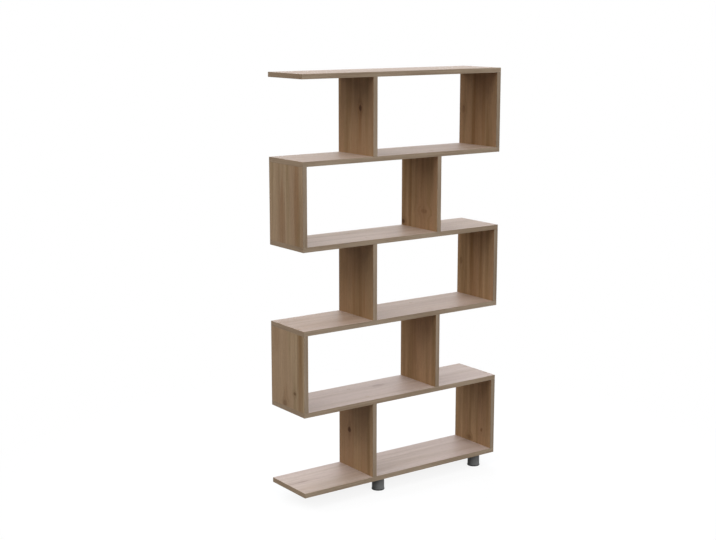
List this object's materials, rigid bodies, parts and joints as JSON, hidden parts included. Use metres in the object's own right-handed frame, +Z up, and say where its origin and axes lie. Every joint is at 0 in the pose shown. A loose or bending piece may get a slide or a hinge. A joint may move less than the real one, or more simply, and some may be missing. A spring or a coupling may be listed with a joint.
{
  "type": "zigzag bookshelf",
  "caption": "Tall free-standing zigzag bookshelf with full-length shelves on staggered uprights, in oak-print melamine board, raised on short grey plastic feet.",
  "frame": {"origin": "on the floor, under the middle of the shelves' length and depth", "axes": "+X along the shelves to the right as seen from the front, +Y to the back, +Z up"},
  "size_m": [0.9, 0.218, 1.5685],
  "materials": {
    "oak_melamine_board": "matt oak-print melamine with fine pores and a few knots",
    "oak_edging": "matt oak-print plastic strip",
    "zinc_steel": "bright zinc plate",
    "grey_plastic": "satin moulded plastic, mid grey",
    "black_plastic": "matt moulded plastic, near black"
  },
  "bodies": {
    "root": {"shelf_1": "oak_melamine_board", "shelf_1_edging": "oak_edging", "shelf_2": "oak_melamine_board", "shelf_2_edging": "oak_edging", "shelf_3": "oak_melamine_board", "shelf_3_edging": "oak_edging", "shelf_4": "oak_melamine_board", "shelf_4_edging": "oak_edging", "shelf_5": "oak_melamine_board", "shelf_5_edging": "oak_edging", "shelf_6": "oak_melamine_board", "shelf_6_edging": "oak_edging", "tier_1_inner_upright": "oak_melamine_board", "tier_1_inner_upright_edging": "oak_edging", "tier_1_end_upright": "oak_melamine_board", "tier_1_end_upright_edging": "oak_edging", "tier_2_inner_upright": "oak_melamine_board", "tier_2_inner_upright_edging": "oak_edging", "tier_2_end_upright": "oak_melamine_board", "tier_2_end_upright_edging": "oak_edging", "tier_3_inner_upright": "oak_melamine_board", "tier_3_inner_upright_edging": "oak_edging", "tier_3_end_upright": "oak_melamine_board", "tier_3_end_upright_edging": "oak_edging", "tier_4_inner_upright": "oak_melamine_board", "tier_4_inner_upright_edging": "oak_edging", "tier_4_end_upright": "oak_melamine_board", "tier_4_end_upright_edging": "oak_edging", "tier_5_inner_upright": "oak_melamine_board", "tier_5_inner_upright_edging": "oak_edging", "tier_5_end_upright": "oak_melamine_board", "tier_5_end_upright_edging": "oak_edging", "shelf_top_screws": "zinc_steel", "shelf_underside_screws": "zinc_steel", "screw_cover_caps": "oak_edging", "front_left_foot": "grey_plastic", "front_left_foot_glide": "black_plastic", "front_right_foot": "grey_plastic", "front_right_foot_glide": "black_plastic", "back_left_foot": "grey_plastic", "back_left_foot_glide": "black_plastic", "back_right_foot": "grey_plastic", "back_right_foot_glide": "black_plastic", "foot_screws": "zinc_steel"}
  },
  "joints": []
}
